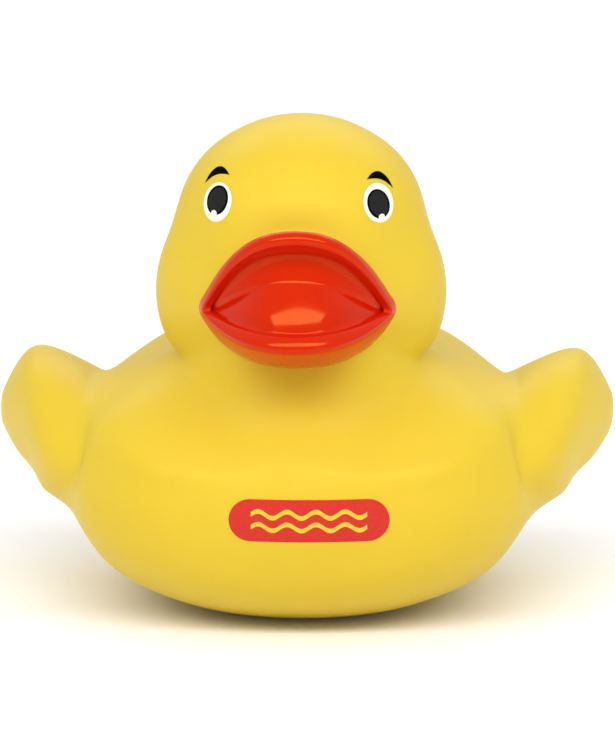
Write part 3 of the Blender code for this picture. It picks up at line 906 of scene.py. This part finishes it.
def ribbon(shape, lower, upper, across, shifts):
    """Fill between two lines of as many points, once for each side that has a shift."""
    for side, shift in zip((1.0, -1.0), shifts):
        rows = [[shape.verts.new((side * (a[0] + (b[0] - a[0]) * row / across), IN_FRONT,
                                  a[1] + shift + (b[1] - a[1]) * row / across))
                 for a, b in zip(lower, upper)] for row in range(across + 1)]
        for first, second in zip(rows, rows[1:]):
            for i in range(len(lower) - 1):
                loop = (first[i], first[i + 1], second[i + 1], second[i])
                shape.faces.new(loop if side > 0.0 else tuple(reversed(loop)))


def print_tree():
    """Press a flat outline along +Y onto a surface as a closed film of ink."""
    tree = bpy.data.node_groups.new("Pad print", "GeometryNodeTree")
    ports = tree.interface
    ports.new_socket("Outline", in_out="INPUT", socket_type="NodeSocketGeometry")
    ports.new_socket("Surface", in_out="INPUT", socket_type="NodeSocketObject")
    ports.new_socket("Lift", in_out="INPUT", socket_type="NodeSocketFloat")
    ports.new_socket("Film", in_out="INPUT", socket_type="NodeSocketFloat")
    ports.new_socket("Ink", in_out="INPUT", socket_type="NodeSocketMaterial")
    ports.new_socket("Print", in_out="OUTPUT", socket_type="NodeSocketGeometry")
    new, link = tree.nodes.new, tree.links.new
    start = new("NodeGroupInput").outputs
    surface = new("GeometryNodeObjectInfo")
    link(start["Surface"], surface.inputs["Object"])
    press = new("GeometryNodeRaycast")
    link(surface.outputs["Geometry"], press.inputs["Target Geometry"])
    press.inputs["Ray Direction"].default_value = (0.0, 1.0, 0.0)
    press.inputs["Ray Length"].default_value = 1.0
    raised = new("ShaderNodeVectorMath")
    raised.operation = "SCALE"
    link(press.outputs["Hit Normal"], raised.inputs[0])
    link(start["Lift"], raised.inputs["Scale"])
    landed = new("ShaderNodeVectorMath")
    landed.operation = "ADD"
    link(press.outputs["Hit Position"], landed.inputs[0])
    link(raised.outputs[0], landed.inputs[1])
    pressed = new("GeometryNodeSetPosition")
    link(start["Outline"], pressed.inputs["Geometry"])
    link(landed.outputs[0], pressed.inputs["Position"])
    top = new("GeometryNodeExtrudeMesh")
    top.inputs["Individual"].default_value = False
    link(pressed.outputs[0], top.inputs["Mesh"])
    link(start["Film"], top.inputs["Offset Scale"])
    underside = new("GeometryNodeFlipFaces")
    link(pressed.outputs[0], underside.inputs[0])
    both = new("GeometryNodeJoinGeometry")
    link(top.outputs["Mesh"], both.inputs[0])
    link(underside.outputs[0], both.inputs[0])
    closed = new("GeometryNodeMergeByDistance")
    closed.inputs["Distance"].default_value = INK_WELD
    link(both.outputs[0], closed.inputs["Geometry"])
    real = new("GeometryNodeRealizeInstances")
    link(closed.outputs[0], real.inputs[0])
    inked = new("GeometryNodeSetMaterial")
    link(real.outputs[0], inked.inputs["Geometry"])
    link(start["Ink"], inked.inputs["Material"])
    link(inked.outputs[0], new("NodeGroupOutput").inputs[0])
    return tree


pad_print = print_tree()


def printed(name, shape, layer, colour):
    """Print a flat shape on the skin in a colour of ink, with as many layers under it."""
    bmesh.ops.remove_doubles(shape, verts=shape.verts, dist=INK_WELD)
    mesh = bpy.data.meshes.new(name)
    shape.to_mesh(mesh)
    shape.free()
    piece = shown(name, mesh)
    press = piece.modifiers.new("Pad print", "NODES")
    press.node_group = pad_print
    values = {"Surface": skin, "Lift": INK_LIFT + layer * 2.0 * INK_FILM, "Film": INK_FILM,
              "Ink": colour}
    for item in pad_print.interface.items_tree:
        if item.item_type == "SOCKET" and item.name in values:
            press[item.identifier] = values[item.name]
    finished(piece)
    piece.data.shade_smooth()
    piece.data.set_sharp_from_angle(angle=SHARP_EDGE)
    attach(piece, "root")


def ink(name, colour, speckle, roughness, ior):
    """Screened ink: a little uneven in tone, with the fine dimples of the pad."""
    finish = Finish(name)
    finish.set(Base_Color=finish.mix(finish.uneven(2600.0, 3.0), (*colour, 1.0), (*speckle, 1.0)),
               Roughness=finish.uneven(1500.0, 2.0, roughness - 0.04, roughness + 0.04),
               IOR=ior, Normal=finish.bump(finish.noise(4000.0), 0.000004, 0.4))
    return finish.material


white_ink = ink("white ink", (0.84, 0.82, 0.72), (0.79, 0.77, 0.66), 0.35, 1.45)
black_ink = ink("black ink", (0.001, 0.001, 0.001), (0.002, 0.002, 0.002), 0.60, 1.06)
grey_ink = ink("dark grey ink", (0.012, 0.012, 0.012), (0.017, 0.017, 0.017), 0.45, 1.15)

shape = bmesh.new()
plate(shape, oval(EYE_X, EYE_Z, EYE_WIDTH, EYE_HEIGHT, EYE_TILT), rings=5, shifts=NO_SHIFT)
printed("eye_whites", shape, 0, white_ink)

shape = bmesh.new()
plate(shape, oval(EYE_X, EYE_Z, PUPIL_WIDTH, PUPIL_HEIGHT, PUPIL_TILT),
      rings=4, shifts=PUPIL_SHIFT)
printed("pupil_rims", shape, 1, black_ink)

shape = bmesh.new()
plate(shape, oval(EYE_X, EYE_Z, PUPIL_WIDTH - 2.0 * PUPIL_RIM, PUPIL_HEIGHT - 2.0 * PUPIL_RIM,
                  PUPIL_TILT), rings=4, shifts=PUPIL_SHIFT)
printed("pupils", shape, 2, grey_ink)

shape = bmesh.new()
plate(shape, oval(EYE_X + LIGHT_OUT, EYE_Z - LIGHT_DOWN, 2.0 * LIGHT_RADIUS, 2.0 * LIGHT_RADIUS,
                  tilt=0.0, steps=24), rings=2, shifts=PUPIL_SHIFT)
printed("catch_lights", shape, 3, white_ink)

# Brow: from the tip beside the eye, over the top, to the blunt end near the middle of the face
BROW_STEPS = 5
BROW_UPPER = ((0.01310, 0.06225), (0.01252, 0.06339), (0.01172, 0.06428), (0.01092, 0.06467),
              (0.01015, 0.06450), (0.00955, 0.06386))
BROW_LOWER = ((0.01310, 0.06225), (0.01216, 0.06316), (0.01137, 0.06362), (0.01066, 0.06381),
              (0.00995, 0.06385), (0.00955, 0.06380))


def curve_through(points, steps):
    """Points along a smooth line through the given ones."""
    made = []
    for i in range(len(points) - 1):
        a, b = points[max(i - 1, 0)], points[i]
        c, d = points[i + 1], points[min(i + 2, len(points) - 1)]
        for step in range(steps):
            t = step / steps
            made.append(tuple(
                0.5 * (2.0 * q + (r - p) * t + (2.0 * p - 5.0 * q + 4.0 * r - s) * t * t
                       + (3.0 * q - p - 3.0 * r + s) * t ** 3)
                for p, q, r, s in zip(a, b, c, d)))
    made.append(points[-1])
    return made


shape = bmesh.new()
ribbon(shape, curve_through(BROW_LOWER, BROW_STEPS), curve_through(BROW_UPPER, BROW_STEPS),
       across=3, shifts=BROW_SHIFT)
printed("brows", shape, 0, black_ink)


# The chest print
# A plain red field with rounded ends and two yellow waves on it, pad-printed on the moulded
# chest in two passes of ink, a little off its middle.

FIELD_X = 0.0019
FIELD_Z = 0.0179
FIELD_WIDTH = 0.0222
FIELD_HEIGHT = 0.0060
WAVE_LENGTH = 0.0040
WAVE_SPAN = 0.0160
WAVE_RISE = 0.00045
WAVE_WIDTH = 0.00065
WAVE_GAP = 0.0018
END_STEPS = 16
SIDE_STEPS = 20
WAVE_STEPS = 96
ONCE = (0.0,)

field_red = ink("red ink", (0.56, 0.024, 0.014), (0.52, 0.018, 0.010), 0.42, 1.33)
wave_yellow = ink("yellow ink", (0.76, 0.50, 0.030), (0.72, 0.46, 0.026), 0.45, 1.33)

outline = []
end_radius = FIELD_HEIGHT / 2.0
end_centre = FIELD_WIDTH / 2.0 - end_radius
for side in (1.0, -1.0):
    for step in range(END_STEPS + 1):
        angle = math.pi * (step / END_STEPS - 0.5)
        outline.append((FIELD_X + side * (end_centre + end_radius * math.cos(angle)),
                        FIELD_Z + side * end_radius * math.sin(angle)))
    for step in range(1, SIDE_STEPS):
        share = 1.0 - 2.0 * step / SIDE_STEPS
        outline.append((FIELD_X + side * end_centre * share, FIELD_Z + side * end_radius))
shape = bmesh.new()
plate(shape, outline, rings=14, shifts=ONCE)
printed("chest_field", shape, 0, field_red)

shape = bmesh.new()
for height in (-WAVE_GAP / 2.0, WAVE_GAP / 2.0):
    line = []
    for step in range(WAVE_STEPS + 1):
        x = WAVE_SPAN * (step / WAVE_STEPS - 0.5)
        line.append((FIELD_X + x,
                     FIELD_Z + height + WAVE_RISE * math.sin(math.tau * x / WAVE_LENGTH)))
    ribbon(shape, [(x, z - WAVE_WIDTH / 2.0) for x, z in line],
           [(x, z + WAVE_WIDTH / 2.0) for x, z in line], across=2, shifts=ONCE)
printed("chest_waves", shape, 1, wave_yellow)


# The squeaker
# A natural white plastic cup with a flange, snapped into the hole in the base, so that its vent
# is the only thing seen; a channelled block and a film reed are pressed into it from inside.

SEAT_THICKNESS = 0.0022
BARREL_WALL = 0.0011
BARB_PROUD = 0.0006
BARB_LENGTH = 0.0016
BARB_EDGE = 0.0004
CUP_EDGE = 0.0003
WEB_THICKNESS = 0.0010
VENT_RADIUS = 0.0016
EASING = 0.00012
EASING_SHARE = 0.4
EASING_STEPS = 3

plastic = Finish("natural white plastic")
plastic.set(Base_Color=plastic.mix(plastic.uneven(300.0, 3.0), (0.80, 0.79, 0.74, 1.0),
                                   (0.86, 0.85, 0.81, 1.0)),
            Roughness=plastic.uneven(900.0, low=0.30, high=0.40),
            Subsurface_Weight=0.2, Subsurface_Radius=(1.0, 0.8, 0.6), Subsurface_Scale=0.001,
            Normal=plastic.bump(plastic.noise(2500.0), 0.00001, 0.3))
film = Finish("reed film")
film.set(Base_Color=film.mix(film.noise(800.0), (0.78, 0.75, 0.66, 1.0), (0.84, 0.82, 0.74, 1.0)),
         Roughness=film.uneven(1200.0, low=0.22, high=0.32),
         Normal=film.bump(film.noise(3000.0), 0.000008, 0.3))
for name, finish in (("squeaker_reed_block", plastic), ("squeaker_reed", film)):
    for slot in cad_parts[name].material_slots:
        slot.material = finish.material


def eased(profile):
    """Round the corners of a closed profile, by less where its sides are short."""
    made = []
    for i, corner in enumerate(profile):
        before, after = Vector(profile[i - 1]), Vector(profile[(i + 1) % len(profile)])
        corner = Vector(corner)
        reach = min(EASING, (before - corner).length * EASING_SHARE,
                    (after - corner).length * EASING_SHARE)
        start = corner + (before - corner).normalized() * reach
        end = corner + (after - corner).normalized() * reach
        for step in range(EASING_STEPS + 1):
            t = step / EASING_STEPS
            made.append(start * (1 - t) ** 2 + corner * 2 * t * (1 - t) + end * t ** 2)
    return [tuple(point) for point in made]


neck = HOLE_RADIUS - CLEARANCE
flange_top = FLANGE_SINK + FLANGE_THICKNESS
barb = shelf + SEAT_THICKNESS + CLEARANCE
cup_top = FLANGE_SINK + BARREL_LENGTH
cup = turned("squeaker_cup_turned", eased((
    (neck, cup_top),
    (neck, barb + BARB_LENGTH),
    (HOLE_RADIUS + BARB_PROUD, barb + BARB_EDGE),
    (HOLE_RADIUS + BARB_PROUD, barb),
    (neck, barb),
    (neck, flange_top),
    (FLANGE_RADIUS, flange_top),
    (FLANGE_RADIUS, FLANGE_SINK + CUP_EDGE),
    (FLANGE_RADIUS - CUP_EDGE, FLANGE_SINK),
    (VENT_RADIUS + CUP_EDGE, FLANGE_SINK),
    (VENT_RADIUS, FLANGE_SINK + CUP_EDGE),
    (VENT_RADIUS, FLANGE_SINK + WEB_THICKNESS),
    (neck - BARREL_WALL, FLANGE_SINK + WEB_THICKNESS),
    (neck - BARREL_WALL, cup_top),
)))
finished(cup)
low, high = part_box("squeaker_cup")
for corner in cup.data.vertices:
    corner.co.y += (low.y + high.y) / 2.0
cup.data.set_sharp_from_angle(angle=SHARP_EDGE)
cup.data.materials.append(plastic.material)
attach(cup, "root")
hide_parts("squeaker_cup")


# The table, the light and the view
# A pale sheet under and behind the duck, in a pale room. One long soft light stands high in front,
# so that the skin shades softly and the bill shows bright bands, and one lights the sheet behind.

SHEET_REACH = 3.0
sheet = bmesh.new()
bmesh.ops.create_grid(sheet, x_segments=8, y_segments=8, size=SHEET_REACH)
table_mesh = bpy.data.meshes.new("table")
sheet.to_mesh(table_mesh)
sheet.free()
paper = Finish("pale paper")
paper.set(Base_Color=paper.mix(paper.noise(30.0), (0.95, 0.95, 0.95, 1.0),
                               (0.97, 0.97, 0.97, 1.0)),
          Roughness=0.9)
table = shown("table", table_mesh, (paper.material,))


def soft_light(name, place, aim, size, power):
    """Hang a white lamp behind a cloth of the given width and height, turned to its aim."""
    light = bpy.data.lights.new(name, "AREA")
    light.shape = "RECTANGLE"
    light.size, light.size_y = size
    light.energy = power
    lamp = bpy.data.objects.new(name, light)
    lamp.location = place
    lamp.rotation_mode = "QUATERNION"
    lamp.rotation_quaternion = (Vector(aim) - Vector(place)).to_track_quat("-Z", "Y")
    bpy.context.scene.collection.objects.link(lamp)


soft_light("front", (0.03, -0.50, 0.53), (0.0, 0.0, 0.035), (1.60, 0.23), 5.8)
soft_light("backdrop", (0.0, 1.40, 1.00), (0.0, 1.50, 0.0), (1.60, 0.80), 8.0)

# The ceiling is a little brighter than the walls: heights are from 0 level to 1 straight up
CEILING_LIGHT = 0.76
ROOM_LIGHT = 0.66
CEILING_FROM, CEILING_FULL = 0.10, 0.80
room = bpy.data.worlds.new("studio")
room.use_nodes = True
ceiling = room.node_tree.nodes["Background"]
ceiling.inputs["Color"].default_value = (1.0, 1.0, 1.0, 1.0)
direction = room.node_tree.nodes.new("ShaderNodeTexCoord")
split = room.node_tree.nodes.new("ShaderNodeSeparateXYZ")
fall = room.node_tree.nodes.new("ShaderNodeMapRange")
fall.interpolation_type = "SMOOTHSTEP"
for socket, number in zip(fall.inputs[1:5],
                          (CEILING_FROM, CEILING_FULL, ROOM_LIGHT, CEILING_LIGHT)):
    socket.default_value = number
room.node_tree.links.new(direction.outputs["Generated"], split.inputs[0])
room.node_tree.links.new(split.outputs["Z"], fall.inputs[0])
room.node_tree.links.new(fall.outputs[0], ceiling.inputs["Strength"])
bpy.context.scene.world = room
bpy.context.scene.view_settings.view_transform = "Standard"

AZIMUTH = math.radians(2.0)
ELEVATION = math.radians(10)
DISTANCE = 0.70
FRAME_HEIGHT = 735
METRES_A_PIXEL = 0.0001447
SENSOR = 36.0
# The point that the view is aimed by, and the pixels by which it falls off the frame's centre
AIM = Vector((0.0, 0.0, 0.0355))
OFF_RIGHT = -2.8
OFF_DOWN = -18.5

back = Vector((math.sin(AZIMUTH) * math.cos(ELEVATION), -math.cos(AZIMUTH) * math.cos(ELEVATION),
               math.sin(ELEVATION)))
right = Vector((math.cos(AZIMUTH), math.sin(AZIMUTH), 0.0))
up = back.cross(right)
lens = bpy.data.cameras.new("view")
lens.sensor_width = SENSOR
lens.lens = SENSOR * DISTANCE / (FRAME_HEIGHT * METRES_A_PIXEL)
lens.clip_start = 0.01
lens.clip_end = 20.0
camera = bpy.data.objects.new("view", lens)
camera.location = (AIM + back * DISTANCE - right * OFF_RIGHT * METRES_A_PIXEL
                   + up * OFF_DOWN * METRES_A_PIXEL)
camera.rotation_mode = "QUATERNION"
camera.rotation_quaternion = back.to_track_quat("Z", "Y")
bpy.context.scene.collection.objects.link(camera)
bpy.context.scene.camera = camera
